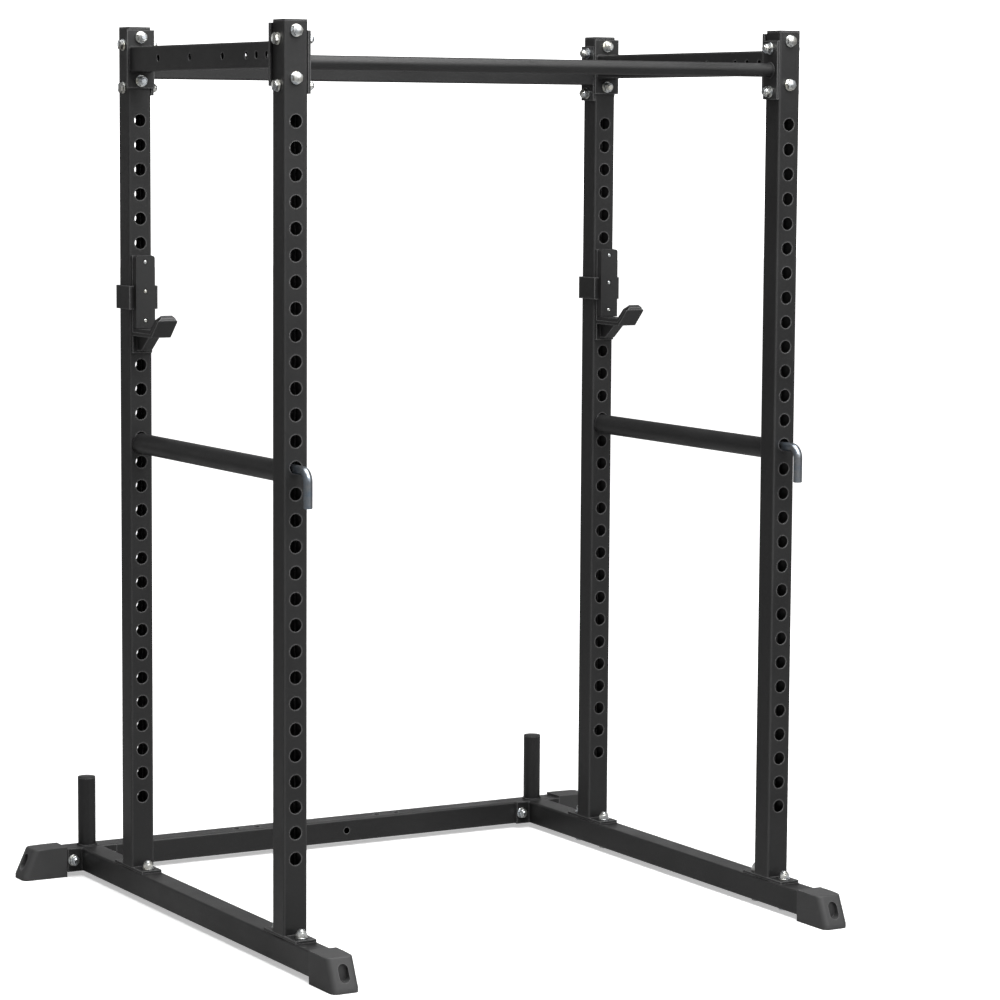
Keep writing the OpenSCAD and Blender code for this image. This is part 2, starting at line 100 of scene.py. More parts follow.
def studioWorld():
    # White behind the cage; what the paint reflects is bright in front, and behind only in a low band
    world = bpy.data.worlds.new("studioWorld")
    world.use_nodes = True
    tree = world.node_tree
    backdrop = tree.nodes["Background"]
    place = add(tree, "ShaderNodeTexCoord")
    split = add(tree, "ShaderNodeSeparateXYZ")
    link(tree, place, "Generated", split, "Vector")
    broad = ramp(tree, leaning(tree, split, *sky["nearTowards"]), *sky["nearRange"], sky["far"], sky["near"])
    behind = ramp(tree, leaning(tree, split, *sky["bandTowards"]), *sky["bandRange"], 0.0, sky["band"])
    low = ramp(tree, split.outputs["Z"], 0.0, sky["bandHeight"], 1.0, 0.0)
    strength = mathNode(tree, "ADD", broad, mathNode(tree, "MULTIPLY", behind, low))
    seen = add(tree, "ShaderNodeLightPath")
    shown = mathNode(tree, "MAXIMUM", strength, seen.outputs["Is Camera Ray"])
    tree.links.new(shown, backdrop.inputs["Strength"])
    backdrop.inputs["Color"].default_value = (1, 1, 1, 1)
    bpy.context.scene.world = world


def buildStudio():
    studioWorld()
    for name, softbox in softboxes.items():
        addSoftbox(name, **softbox)
    bpy.ops.mesh.primitive_plane_add(size=ground["size"])
    floor = bpy.context.object
    floor.name = "studioFloor"
    floor.data.materials.append(paleFloor())
    bpy.context.scene.view_settings.view_transform = "Standard"


# Shader node groups

peelGrain = {"fine": 900.0, "broad": 260.0, "broadShare": 0.5, "bump": 0.35}
edgeTurn = {"width": 0.004, "flat": 0.995, "sharp": 0.86}
wear = {"cloud": 7.0, "cloudRange": (0.35, 0.65),
        "speck": 420.0, "speckRange": (0.16, 0.08), "speckShare": 0.35}
zinc = {"streakAlong": 8.0, "streakAcross": 900.0, "cloud": 45.0, "dullRange": (0.45, 0.75), "dullMost": 0.45,
        "glossRange": (0.3, 0.7), "bump": 0.25, "bumpDepth": 0.00008}


def startGroup(name, inputs, outputs):
    # Every socket of these groups is a number
    group = bpy.data.node_groups.new(name, "ShaderNodeTree")
    for label, value in inputs.items():
        socket = group.interface.new_socket(name=label, in_out="INPUT", socket_type="NodeSocketFloat")
        socket.default_value = value
    for label in outputs:
        group.interface.new_socket(name=label, in_out="OUTPUT", socket_type="NodeSocketFloat")
    return group, group.nodes.new("NodeGroupInput"), group.nodes.new("NodeGroupOutput")


def add(tree, kind, **settings):
    # A node, with its properties and its sockets' values set by name
    node = tree.nodes.new(kind)
    for key, value in settings.items():
        if hasattr(node, key):
            setattr(node, key, value)
        else:
            node.inputs[key].default_value = value
    return node


def link(tree, a, outName, b, inName):
    tree.links.new(a.outputs[outName], b.inputs[inName])


def mathNode(tree, operation, a, b):
    # a and b are each a number or a socket
    node = tree.nodes.new("ShaderNodeMath")
    node.operation = operation
    for k, value in enumerate((a, b)):
        if isinstance(value, (int, float)):
            node.inputs[k].default_value = value
        else:
            tree.links.new(value, node.inputs[k])
    return node.outputs[0]


def ramp(tree, source, low, high, outLow, outHigh):
    # Remaps a value from low..high to outLow..outHigh
    node = tree.nodes.new("ShaderNodeMapRange")
    for k, value in enumerate((low, high, outLow, outHigh)):
        node.inputs[k + 1].default_value = value
    tree.links.new(source, node.inputs[0])
    return node.outputs[0]


def makeOrangePeel():
    # Fine pebbled height for powder coat, moulded plastic and rubber
    group, start, end = startGroup("orangePeel", {
        "Fine Scale": peelGrain["fine"], "Broad Scale": peelGrain["broad"],
        "Broad Share": peelGrain["broadShare"]}, ["Height"])
    place = add(group, "ShaderNodeTexCoord")
    fine = add(group, "ShaderNodeTexNoise", Detail=2.0)
    broad = add(group, "ShaderNodeTexNoise", Detail=1.0)
    link(group, place, "Object", fine, "Vector")
    link(group, place, "Object", broad, "Vector")
    link(group, start, "Fine Scale", fine, "Scale")
    link(group, start, "Broad Scale", broad, "Scale")
    share = mathNode(group, "MULTIPLY", broad.outputs["Fac"], start.outputs["Broad Share"])
    total = mathNode(group, "ADD", fine.outputs["Fac"], share)
    group.links.new(total, end.inputs["Height"])
    return group


def makeEdgeMask():
    # 1 on outside edges and corners, 0 on flats; the coated finishes paint a highlight where it is 1
    group, start, end = startGroup("edgeMask", {"Width": edgeTurn["width"]}, ["Mask"])
    soft = add(group, "ShaderNodeBevel", samples=4)
    link(group, start, "Width", soft, "Radius")
    true = add(group, "ShaderNodeNewGeometry")
    dot = add(group, "ShaderNodeVectorMath", operation="DOT_PRODUCT")
    group.links.new(soft.outputs["Normal"], dot.inputs[0])
    group.links.new(true.outputs["Normal"], dot.inputs[1])
    mask = ramp(group, dot.outputs["Value"], edgeTurn["flat"], edgeTurn["sharp"], 0.0, 1.0)
    group.links.new(mask, end.inputs["Mask"])
    return group


def makeHandling():
    # Slow cloudy variation with fine dust specks, as on a handled and floor-standing piece
    group, start, end = startGroup("handling", {"Cloud Scale": wear["cloud"], "Speck Scale": wear["speck"]},
                                   ["Cloud", "Specks"])
    place = add(group, "ShaderNodeTexCoord")
    cloud = add(group, "ShaderNodeTexNoise", Detail=4.0)
    speck = add(group, "ShaderNodeTexVoronoi")
    link(group, place, "Object", cloud, "Vector")
    link(group, place, "Object", speck, "Vector")
    link(group, start, "Cloud Scale", cloud, "Scale")
    link(group, start, "Speck Scale", speck, "Scale")
    clouds = ramp(group, cloud.outputs["Fac"], *wear["cloudRange"], 0.0, 1.0)
    specks = ramp(group, speck.outputs["Distance"], *wear["speckRange"], 0.0, 1.0)
    group.links.new(clouds, end.inputs["Cloud"])
    group.links.new(specks, end.inputs["Specks"])
    return group


# Materials

def startMaterial(name):
    material = bpy.data.materials.new(name)
    material.use_nodes = True
    return material, material.node_tree, material.node_tree.nodes["Principled BSDF"]


def useGroup(tree, group, **values):
    node = tree.nodes.new("ShaderNodeGroup")
    node.node_tree = group
    for key, value in values.items():
        node.inputs[key].default_value = value
    return node


def mixColours(tree, mask, a, b):
    # a and b are each a colour or a socket
    node = tree.nodes.new("ShaderNodeMix")
    node.data_type = "RGBA"
    for k, value in ((6, a), (7, b)):
        if hasattr(value, "node"):
            tree.links.new(value, node.inputs[k])
        else:
            node.inputs[k].default_value = (*value, 1)
    tree.links.new(mask, node.inputs[0])
    return node.outputs[2]


def bumpInto(tree, shader, height, strength, distance):
    bump = add(tree, "ShaderNodeBump", Strength=strength, Distance=distance)
    tree.links.new(height, bump.inputs["Height"])
    tree.links.new(bump.outputs["Normal"], shader.inputs["Normal"])


def coated(name, tones, roughness, peel, peelDepth, edgeWidth):
    # Powder coat, moulded plastic and rubber differ only in their tones, gloss and grain. Edges and corners
    # get a painted highlight in the pale edge tone, and the dust specks are mixed toward that same tone
    material, tree, shader = startMaterial(name)
    handling = useGroup(tree, groups["handling"])
    edge = useGroup(tree, groups["edgeMask"], Width=edgeWidth)
    base = mixColours(tree, handling.outputs["Cloud"], tones["deep"], tones["face"])
    # Painted highlight: outside edges and corners are mixed toward the pale edge tone
    highlightedEdges = mixColours(tree, edge.outputs["Mask"], base, tones["edge"])
    # Real dust specks, mixed toward the same pale edge tone
    specks = mathNode(tree, "MULTIPLY", handling.outputs["Specks"], wear["speckShare"])
    tree.links.new(mixColours(tree, specks, highlightedEdges, tones["edge"]), shader.inputs["Base Color"])
    tree.links.new(ramp(tree, handling.outputs["Cloud"], 0.0, 1.0, *roughness), shader.inputs["Roughness"])
    grain = useGroup(tree, groups["orangePeel"], **peel)
    bumpInto(tree, shader, grain.outputs["Height"], peelGrain["bump"], peelDepth)
    return material


def zincPlate(name, tones, roughness, streakAxis):
    # Bright zinc with faint drawn streaks and the blue and yellow cast of passivation
    material, tree, shader = startMaterial(name)
    shader.inputs["Metallic"].default_value = 1.0
    place = add(tree, "ShaderNodeTexCoord")
    stretch = add(tree, "ShaderNodeMapping")
    stretch.inputs["Scale"].default_value = [
        zinc["streakAlong"] if axis == streakAxis else zinc["streakAcross"] for axis in "XYZ"]
    link(tree, place, "Object", stretch, "Vector")
    streak = add(tree, "ShaderNodeTexNoise", Scale=1.0, Detail=3.0)
    link(tree, stretch, "Vector", streak, "Vector")
    handling = useGroup(tree, groups["handling"], **{"Cloud Scale": zinc["cloud"]})
    tint = mixColours(tree, handling.outputs["Cloud"], tones["cool"], tones["warm"])
    dull = ramp(tree, streak.outputs["Fac"], *zinc["dullRange"], 0.0, zinc["dullMost"])
    tree.links.new(mixColours(tree, dull, tint, tones["dull"]), shader.inputs["Base Color"])
    gloss = ramp(tree, streak.outputs["Fac"], *zinc["glossRange"], *roughness)
    tree.links.new(gloss, shader.inputs["Roughness"])
    bumpInto(tree, shader, streak.outputs["Fac"], zinc["bump"], zinc["bumpDepth"])
    return material


def paleFloor():
    # Pale and faintly mottled; away from the cage it fades into the white behind it
    material, tree, shader = startMaterial("paleFloor")
    tone = ground["tone"]
    place = add(tree, "ShaderNodeTexCoord")
    cloud = add(tree, "ShaderNodeTexNoise", Scale=0.6, Detail=2.0)
    link(tree, place, "Object", cloud, "Vector")
    pale = mixColours(tree, cloud.outputs["Fac"], (tone,) * 3, (tone + ground["mottle"],) * 3)
    seen = add(tree, "ShaderNodeLightPath")
    tree.links.new(mixColours(tree, seen.outputs["Is Camera Ray"], (ground["mirrored"],) * 3, pale),
                   shader.inputs["Base Color"])
    shader.inputs["Roughness"].default_value = ground["roughness"]
    reach = add(tree, "ShaderNodeVectorMath", operation="LENGTH")
    link(tree, place, "Object", reach, 0)
    fade = ramp(tree, reach.outputs["Value"], ground["fadeFrom"], ground["fadeTo"], ground["glow"], 1.0)
    shader.inputs["Emission Color"].default_value = (1, 1, 1, 1)
    glow = mathNode(tree, "MULTIPLY", fade, seen.outputs["Is Camera Ray"])
    tree.links.new(glow, shader.inputs["Emission Strength"])
    return material


def makeMaterials():
    # Each edge tone is a painted highlight along edges and corners, and also the tone of the dust specks
    steel = {"deep": (0.0045, 0.0045, 0.0047), "face": (0.0068, 0.0068, 0.007), "edge": (0.13, 0.13, 0.131)}
    # On the weld beads the painted edge highlight is kept faint, close to the face tone
    welded = {**steel, "edge": (0.009, 0.009, 0.0092)}
    plastic = {"deep": (0.009, 0.009, 0.0092), "face": (0.0125, 0.0125, 0.0128), "edge": (0.03, 0.03, 0.0305)}
    rubber = {"deep": (0.034, 0.034, 0.0345), "face": (0.046, 0.046, 0.0465), "edge": (0.09, 0.089, 0.09)}
    bright = {"cool": (0.72, 0.76, 0.80), "warm": (0.80, 0.78, 0.70), "dull": (0.42, 0.44, 0.46)}
    blue = {"cool": (0.26, 0.31, 0.37), "warm": (0.36, 0.37, 0.38), "dull": (0.15, 0.18, 0.22)}
    return {
        "blackSteel": coated("blackSteel", steel, (0.42, 0.52), {"Fine Scale": 1300.0}, 0.00035, 0.004),
        "paintedWeld": coated("paintedWeld", welded, (0.38, 0.5), {"Fine Scale": 1300.0}, 0.0002, 0.001),
        "blackPlastic": coated("blackPlastic", plastic, (0.5, 0.62), {"Fine Scale": 2400.0}, 0.0002, 0.0015),
        "shoeRubber": coated("shoeRubber", rubber, (0.55, 0.7), {"Fine Scale": 1700.0}, 0.0003, 0.003),
        "zincFastener": zincPlate("zincFastener", bright, (0.18, 0.38), "Z"),
        "zincPin": zincPlate("zincPin", blue, (0.24, 0.42), "Y"),
    }


groups = {"orangePeel": makeOrangePeel(), "edgeMask": makeEdgeMask(), "handling": makeHandling()}
finishes = makeMaterials()
slotFinish = {"black_steel": "blackSteel", "black_plastic": "blackPlastic", "shoe_rubber": "shoeRubber",
              "zinc_fastener": "zincFastener", "zinc_pin": "zincPin"}
print("materials ready")

addCamera()
buildStudio()
print("studio ready")


# Steps that every piece is modelled with

def activate(piece):
    bpy.ops.object.select_all(action="DESELECT")
    piece.select_set(True)
    bpy.context.view_layer.objects.active = piece


def pick(piece, kind, wanted):
    # Goes into edit mode with only the faces, edges or corners that are wanted
    activate(piece)
    bpy.ops.object.mode_set(mode="EDIT")
    bpy.ops.mesh.select_mode(type=kind)
    bpy.ops.mesh.select_all(action="DESELECT")
    shape = bmesh.from_edit_mesh(piece.data)
    for item in {"FACE": shape.faces, "EDGE": shape.edges, "VERT": shape.verts}[kind]:
        item.select_set(wanted(item))
    bmesh.update_edit_mesh(piece.data)


def leaveEdit():
    bpy.ops.object.mode_set(mode="OBJECT")


def runs(edge, axis):
    # True for an edge that lies along one axis
    along = edge.verts[1].co - edge.verts[0].co
    return abs(along[axis]) > 0.999 * along.length


def block(low, high):
    # A box between two corners
    low, high = Vector(low), Vector(high)
    bpy.ops.object.select_all(action="DESELECT")
    bpy.ops.mesh.primitive_cube_add(size=1, location=(low + high) / 2, scale=high - low)
    bpy.ops.object.transform_apply(location=True, rotation=True, scale=True)
    return bpy.context.object


def turned(steps, count=32, ring=False):
    # Extrudes and resizes a circle through (radius, z) steps about the Z axis. It is closed at both
    # ends, or as a ring its last step is bridged back to its first.
    radius, z = steps[0]
    bpy.ops.object.select_all(action="DESELECT")
    bpy.ops.mesh.primitive_circle_add(vertices=count, radius=radius, location=(0, 0, z),
                                      fill_type="NOTHING" if ring else "NGON")
    piece = bpy.context.object
    bpy.ops.object.transform_apply(location=True)
    bpy.ops.object.mode_set(mode="EDIT")
    bpy.ops.mesh.select_mode(type="VERT")
    bpy.ops.mesh.select_all(action="SELECT")
    for nextRadius, nextZ in steps[1:]:
        bpy.ops.mesh.extrude_region_move(TRANSFORM_OT_translate={"value": (0, 0, nextZ - z)})
        share = nextRadius / radius
        bpy.ops.transform.resize(value=(share, share, 1), center_override=(0, 0, nextZ))
        radius, z = nextRadius, nextZ
    if ring:
        bpy.ops.mesh.select_mode(type="EDGE")
        bpy.ops.mesh.select_all(action="DESELECT")
        bpy.ops.mesh.select_non_manifold()
        bpy.ops.mesh.bridge_edge_loops()
    bpy.ops.mesh.select_all(action="SELECT")
    bpy.ops.mesh.normals_make_consistent(inside=False)
    leaveEdit()
    return piece


def combine(piece, tool, operation):
    # Cuts one shape with another or joins them into one skin, and uses the tool up
    activate(piece)
    change = piece.modifiers.new("change", "BOOLEAN")
    change.operation = operation
    change.object = tool
    change.solver = "EXACT"
    bpy.ops.object.modifier_apply(modifier="change")
    bpy.data.objects.remove(tool)
    return piece


def smooth(piece, angle=40):
    activate(piece)
    bpy.ops.object.shade_smooth_by_angle(angle=math.radians(angle))
    return piece


def soften(piece, width, segments=2, angle=35):
    # Rounds every edge sharper than the angle
    activate(piece)
    bevel = piece.modifiers.new("soften", "BEVEL")
    bevel.width = width
    bevel.segments = segments
    bevel.limit_method = "ANGLE"
    bevel.angle_limit = math.radians(angle)
    bpy.ops.object.modifier_apply(modifier="soften")
    smooth(piece)
    flats = piece.modifiers.new("flats", "WEIGHTED_NORMAL")
    flats.keep_sharp = True
    flats.weight = 100
    bpy.ops.object.modifier_apply(modifier="flats")
    return piece


def cleanCopy(node):
    # A CAD node's shape with its flats as single faces, so that its edges can be softened
    source = nodes[node]
    piece = source.copy()
    piece.data = source.data.copy()
    piece.parent = None
    for key in [key for key in piece.keys() if key.startswith("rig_")]:
        del piece[key]
    bpy.context.collection.objects.link(piece)
    activate(piece)
    bpy.ops.object.mode_set(mode="EDIT")
    bpy.ops.mesh.select_all(action="SELECT")
    bpy.ops.mesh.remove_doubles(threshold=0.00001)
    bpy.ops.mesh.dissolve_limited(angle_limit=math.radians(0.5))
    leaveEdit()
    if piece.data.has_custom_normals:
        bpy.ops.mesh.customdata_custom_splitnormals_clear()
    return piece


def copied(piece, place):
    # A copy with its own mesh, moved into place
    other = piece.copy()
    other.data = piece.data.copy()
    bpy.context.collection.objects.link(other)
    other.data.transform(place)
    return other


def joined(pieces):
    activate(pieces[0])
    for piece in pieces[1:]:
        piece.select_set(True)
    if len(pieces) > 1:
        bpy.ops.object.join()
    return pieces[0]


def finish(piece, name, body, slot, *replaced, coat=None):
    # Names a piece, gives it its finish and hangs it on its body
    piece.name = name
    piece.data.name = name
    piece.data.materials.clear()
    piece.data.materials.append(finishes[coat or slotFinish[slot]])
    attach(piece, body)
    if replaced:
        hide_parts(*replaced)


def middle(node, axis):
    low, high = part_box(node)
    return (low[axis] + high[axis]) / 2


cage = {"uprightX": middle("upright_front_right", 0), "frontY": middle("upright_front_right", 1),
        "rearY": middle("upright_rear_right", 1), "crossY": middle("rear_crossmember", 1),
        "sideZ": middle("side_beam_left", 2), "topZ": middle("rear_top_beam", 2),
        "railZ": middle("rear_crossmember", 2), "railTop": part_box("rear_crossmember")[1][2],
        "noseY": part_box("shoe_front_left")[0][1], "noseX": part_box("shoe_rear_right")[1][0],
        "tube": 50 * mm, "plate": 6 * mm}


# Rubber shoes

shoe = {"halfWidth": 29 * mm, "length": 100 * mm, "top": 65 * mm, "skirt": 10 * mm, "lean": 25.5 * mm,
        "noseRadius": 13 * mm, "browRound": 3 * mm, "edge": 1.1 * mm,
        "pocketStart": 31.8 * mm, "pocketHalf": 25.2 * mm, "pocketRadius": 4 * mm,
        "recessHalf": 10.5 * mm, "recessRise": 17 * mm, "recessZ": 36 * mm, "recessFloor": 24 * mm,
        "recessRound": 0.999}


def roundEdges(piece, wanted, width, segments):
    # Rounds only the edges that are wanted
    pick(piece, "EDGE", wanted)
    bpy.ops.mesh.bevel(offset=width, segments=segments, affect="EDGES")
    leaveEdit()


def makeShoe():
    # Nose at the origin, tube running away along +Y
    half, length = shoe["halfWidth"], shoe["length"]
    piece = block((-half, 0, 0), (half, length, shoe["top"]))
    activate(piece)
    bpy.ops.object.mode_set(mode="EDIT")
    bpy.ops.mesh.select_all(action="SELECT")
    bpy.ops.mesh.bisect(plane_co=(0, 0, shoe["skirt"]),
                        plane_no=(0, shoe["skirt"] - shoe["top"], shoe["lean"]),
                        use_fill=True, clear_outer=True)
    leaveEdit()
    roundEdges(piece, lambda edge: not runs(edge, 0) and not runs(edge, 1)
               and max(end.co.y for end in edge.verts) < length / 2, shoe["noseRadius"], 8)
    roundEdges(piece, lambda edge: min(end.co.z for end in edge.verts) > shoe["top"] - mm
               and not runs(edge, 1) and max(end.co.y for end in edge.verts) < length - mm,
               shoe["browRound"], 3)
    pocket = block((-shoe["pocketHalf"], shoe["pocketStart"], cage["railZ"] - shoe["pocketHalf"]),
                   (shoe["pocketHalf"], length + mm, cage["railZ"] + shoe["pocketHalf"]))
    roundEdges(pocket, lambda edge: runs(edge, 1), shoe["pocketRadius"], 4)
    combine(piece, pocket, "DIFFERENCE")
    recess = block((-shoe["recessHalf"], -mm, shoe["recessZ"] - shoe["recessRise"]),
                   (shoe["recessHalf"], shoe["recessFloor"], shoe["recessZ"] + shoe["recessRise"]))
    roundEdges(recess, lambda edge: runs(edge, 1), shoe["recessRound"] * shoe["recessHalf"], 8)
    combine(piece, recess, "DIFFERENCE")
    return soften(piece, shoe["edge"])


shoeModel = makeShoe()
for side, sign in sides.items():
    front = Matrix.Translation((sign * cage["uprightX"], cage["noseY"], 0))
    rear = (Matrix.Translation((sign * cage["noseX"], cage["crossY"], 0))
            @ Matrix.Rotation(sign * math.pi / 2, 4, "Z"))
    finish(copied(shoeModel, front), f"front_shoe_{side}", "frame", "shoe_rubber", f"shoe_front_{side}")
    finish(copied(shoeModel, rear), f"rear_shoe_{side}", "frame", "shoe_rubber", f"shoe_rear_{side}")
bpy.data.objects.remove(shoeModel)
print("shoes ready")


# Hex bolts, lock nuts and washers. Z = 0 is the face under the head and the shank runs up.

stack = {"flats": 19 * mm, "head": 7.5 * mm, "thread": 6 * mm, "threadDepth": 0.85 * mm, "pitch": 1.75 * mm,
         "washerHole": 6.5 * mm, "washerRadius": 12 * mm, "washer": 2.5 * mm, "washerEdge": 0.35 * mm,
         "grip": cage["tube"] + cage["plate"], "nut": 12 * mm, "collar": 3.5 * mm, "collarRadius": 8.75 * mm,
         "collarRound": 1.3 * mm, "collarShare": 0.35, "nylon": 7.1 * mm, "nylonDrop": 0.8 * mm,
         "showing": 3 * mm, "corner": 1.3 * mm, "faceShare": 0.47, "clear": 0.2 * mm, "cone": 0.58 * mm,
         "overlap": 2 * mm, "lastTurns": 1.6, "tipIn": 0.2 * mm, "tipLength": 0.7 * mm, "tipDrop": 0.4 * mm,
         "holeClear": 0.05 * mm, "turnStep": 0.7}
boltOffset = {"sideBeam": 44 * mm, "crossBeam": 43.5 * mm, "railPlate": 45 * mm, "footPlate": 50 * mm}
hexCorner = stack["flats"] / 2 / math.cos(math.radians(30))


def hexPrism(low, high, bothEnds):
    # A hexagon whose corners are turned off at its low end or at both
    piece = turned([(hexCorner, low), (hexCorner, high)], 6)
    face = stack["faceShare"] * stack["flats"]
    outside = hexCorner + stack["clear"]
    steps = [(face - mm, low - stack["cone"]), (outside, low + stack["corner"])]
    if bothEnds:
        steps += [(outside, high - stack["corner"]), (face - mm, high + stack["cone"])]
    else:
        steps += [(outside, high + mm)]
    return combine(piece, turned(steps, 48), "INTERSECT")


def makeBolt(washerUnder):
    # The rings of thread stop short of the tip, which narrows
    under = -washerUnder
    end = stack["grip"] + stack["washer"] + stack["nut"] + stack["showing"]
    head = hexPrism(under - stack["head"], under, False)
    radius, root, pitch = stack["thread"], stack["thread"] - stack["threadDepth"], stack["pitch"]
    z = end - stack["showing"] - pitch
    steps = [(radius, under - stack["overlap"]), (radius, z)]
    while z < end - stack["lastTurns"] * pitch:
        steps += [(root, z + pitch / 2), (radius, z + pitch)]
        z += pitch
    steps += [(root, z + pitch / 2), (radius - stack["tipIn"], end - stack["tipLength"]),
              (root - stack["tipDrop"], end)]
    return smooth(combine(head, turned(steps, 28), "UNION"), 32)


def makeWasher():
    inner, outer, edge, top = stack["washerHole"], stack["washerRadius"], stack["washerEdge"], stack["washer"]
    return smooth(turned([(inner, 0), (outer - edge, 0), (outer, edge), (outer, top - edge),
                          (outer - edge, top), (inner, top)], 40, ring=True), 32)


def makeNut():
    low = stack["grip"] + stack["washer"]
    high = low + stack["nut"]
    collar, rounding, share = stack["collarRadius"], stack["collarRound"], stack["collarShare"]
    body = hexPrism(low, high - stack["collar"], True)
    combine(body, turned([(collar, low + stack["overlap"]), (collar, high - rounding),
                          (collar - share * rounding, high - share * rounding),
                          (collar - rounding, high)], 40), "UNION")
    mouth = turned([(stack["nylon"], high - stack["nylonDrop"]), (stack["nylon"], high + mm)], 40)
    combine(body, mouth, "DIFFERENCE")
    hole = stack["thread"] + stack["holeClear"]
    combine(body, turned([(hole, low - mm), (hole, high + mm)], 28), "DIFFERENCE")
    return smooth(body, 32)


def stackPlaces():
    # Where each stack of bolt, washers and nut stands, and how far it is turned about its own axis
    half, quarter = cage["tube"] / 2, math.pi / 2
    x, front, rear = cage["uprightX"], cage["frontY"], cage["rearY"]
    places = {"side_beam": [], "cross_beam": [], "rail_plate": [], "foot_plate": []}
    for sign in sides.values():
        for up in (-1, 1):
            z = cage["sideZ"] + up * boltOffset["sideBeam"]
            places["side_beam"] += [((sign * x, front - half, z), -quarter, "X"),
                                    ((sign * x, rear + half, z), quarter, "X")]
            z = cage["topZ"] + up * boltOffset["crossBeam"]
            places["cross_beam"] += [((sign * (x + half), y, z), -sign * quarter, "Y") for y in (front, rear)]
            across = sign * x + up * boltOffset["railPlate"]
            places["rail_plate"] += [((across, cage["crossY"] + half, cage["railZ"]), quarter, "X")]
            under = cage["railZ"] - half
            places["foot_plate"] += [((sign * x, y + up * boltOffset["footPlate"], under), 0, "X")
                                     for y in (front, rear)]
    return {name: [Matrix.Translation(spot) @ Matrix.Rotation(turn, 4, axis)
                   @ Matrix.Rotation(stack["turnStep"] * k, 4, "Z")
                   for k, (spot, turn, axis) in enumerate(spots)] for name, spots in places.items()}


longBolt, shortBolt, nutModel, washerModel = makeBolt(stack["washer"]), makeBolt(0), makeNut(), makeWasher()
for name, spots in stackPlaces().items():
    bolt, under = (shortBolt, []) if name == "foot_plate" else (longBolt, spots)
    washers = [spot @ Matrix.Translation((0, 0, stack["grip"])) for spot in spots]
    washers += [spot @ Matrix.Translation((0, 0, -stack["washer"])) for spot in under]
    for model, places, shown, node in ((bolt, spots, "hex_bolts", "bolts"),
                                       (nutModel, spots, "lock_nuts", "nuts"),
                                       (washerModel, washers, "flat_washers", "washers")):
        finish(joined([copied(model, place) for place in places]), f"{name}_{shown}", "frame",
               "zinc_fastener", f"{name}_{node}")
for model in (longBolt, shortBolt, nutModel, washerModel):
    bpy.data.objects.remove(model)
print("fasteners ready")


# Welded frame, plastic caps and hooks: the CAD shapes with their cut and moulded edges softened

tubeEdge = {"upright": 0.5 * mm, "rail": 0.7 * mm, "beam": 0.6 * mm, "post": 0.5 * mm}
endCapEdge = 0.9 * mm
postCap = {"radius": 19 * mm, "thick": 2 * mm, "plug": 16.8 * mm, "plugChamfer": 0.8 * mm, "round": 0.9 * mm,
           "roundIn": 0.3, "roundDown": 0.35, "rim": 0.3 * mm}
hookEdge = {"bracket": 1.1 * mm, "pad": 1.3 * mm, "liner": 1.6 * mm}


def makePostCap(side):
    # A plug under a thin disc with a rounded brim, which stands on the rim of its post
    low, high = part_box(f"post_cap_{side}")
    rim = high[2] - postCap["thick"]
    radius, rounding, plug = postCap["radius"], postCap["round"], postCap["plug"]
    piece = turned([(plug - postCap["plugChamfer"], low[2]), (plug, low[2] + postCap["plugChamfer"]),
                    (plug, rim), (radius - postCap["rim"], rim), (radius, rim + postCap["rim"]),
                    (radius, high[2] - rounding),
                    (radius - postCap["roundIn"] * rounding, high[2] - postCap["roundDown"] * rounding),
                    (radius - rounding, high[2])], 48)
    piece.data.transform(Matrix.Translation(((low[0] + high[0]) / 2, (low[1] + high[1]) / 2, 0)))
    return smooth(piece)


def standIn(node, name, body, slot, width, segments=2):
    # A CAD node's own shape with softer edges, which stands for it
    finish(soften(cleanCopy(node), width, segments), name, body, slot, node)


for side in sides:
    for end in ("front", "rear"):
        standIn(f"upright_{end}_{side}", f"{end}_upright_{side}", "frame", "black_steel",
                tubeEdge["upright"], 1)
        standIn(f"end_cap_{end}_{side}", f"{end}_end_cap_{side}", "frame", "black_plastic", endCapEdge, 3)
    standIn(f"base_rail_{side}", f"rail_{side}", "frame", "black_steel", tubeEdge["rail"])
    standIn(f"side_beam_{side}", f"beam_{side}", "frame", "black_steel", tubeEdge["beam"])
    standIn(f"storage_post_{side}", f"post_{side}", "frame", "black_steel", tubeEdge["post"])
    finish(makePostCap(side), f"post_top_{side}", "frame", "black_plastic", f"post_cap_{side}")
    hook = f"bar_hook_{side}"
    standIn(f"hook_bracket_{side}", f"bracket_{side}", hook, "black_steel", hookEdge["bracket"], 3)
    standIn(f"hook_face_pad_{side}", f"face_pad_{side}", hook, "black_plastic", hookEdge["pad"], 3)
    standIn(f"hook_saddle_liner_{side}", f"saddle_liner_{side}", hook, "black_plastic", hookEdge["liner"], 3)
for node, name in (("rear_crossmember", "crossmember"), ("rear_top_beam", "top_beam"),
                   ("pull_up_bar", "chin_bar")):
    standIn(node, name, "frame", "black_steel", tubeEdge["beam"])
print("welded frame, caps and hooks ready")


# Safety pipes, pins, hook pegs and the screws of the face pads

pipe = {"radius": 21 * mm, "wall": 3 * mm, "edge": 0.6 * mm}
pin = {"radius": 9 * mm, "bend": 20 * mm, "chamfer": 3 * mm, "noseIn": 0.8, "noseBack": 0.2,
       "legEdge": 1.2 * mm, "steps": 14}
peg = {"radius": 11.5 * mm, "chamfer": 2 * mm, "round": 0.5 * mm, "roundIn": 0.3, "roundBack": 0.2}
screw = {"head": 4.3 * mm, "headHeight": 3.5 * mm, "shank": 2.45 * mm, "tip": 0.6 * mm, "socket": 1.7 * mm,
         "socketDepth": 1.6 * mm, "dome": ((0.55, 0), (0.82, 0.18), (0.97, 0.5), (1, 0.8), (1, 1)),
         "count": 3, "spacing": 60 * mm}
layDown = Matrix.Rotation(-math.pi / 2, 4, "X")


def laidInBox(rod, low, high):
    # Lays a turned piece along Y, on the middle line of a box and from its front face
    rod.data.transform(Matrix.Translation(((low[0] + high[0]) / 2, low[1], (low[2] + high[2]) / 2)) @ layDown)
    return smooth(rod)


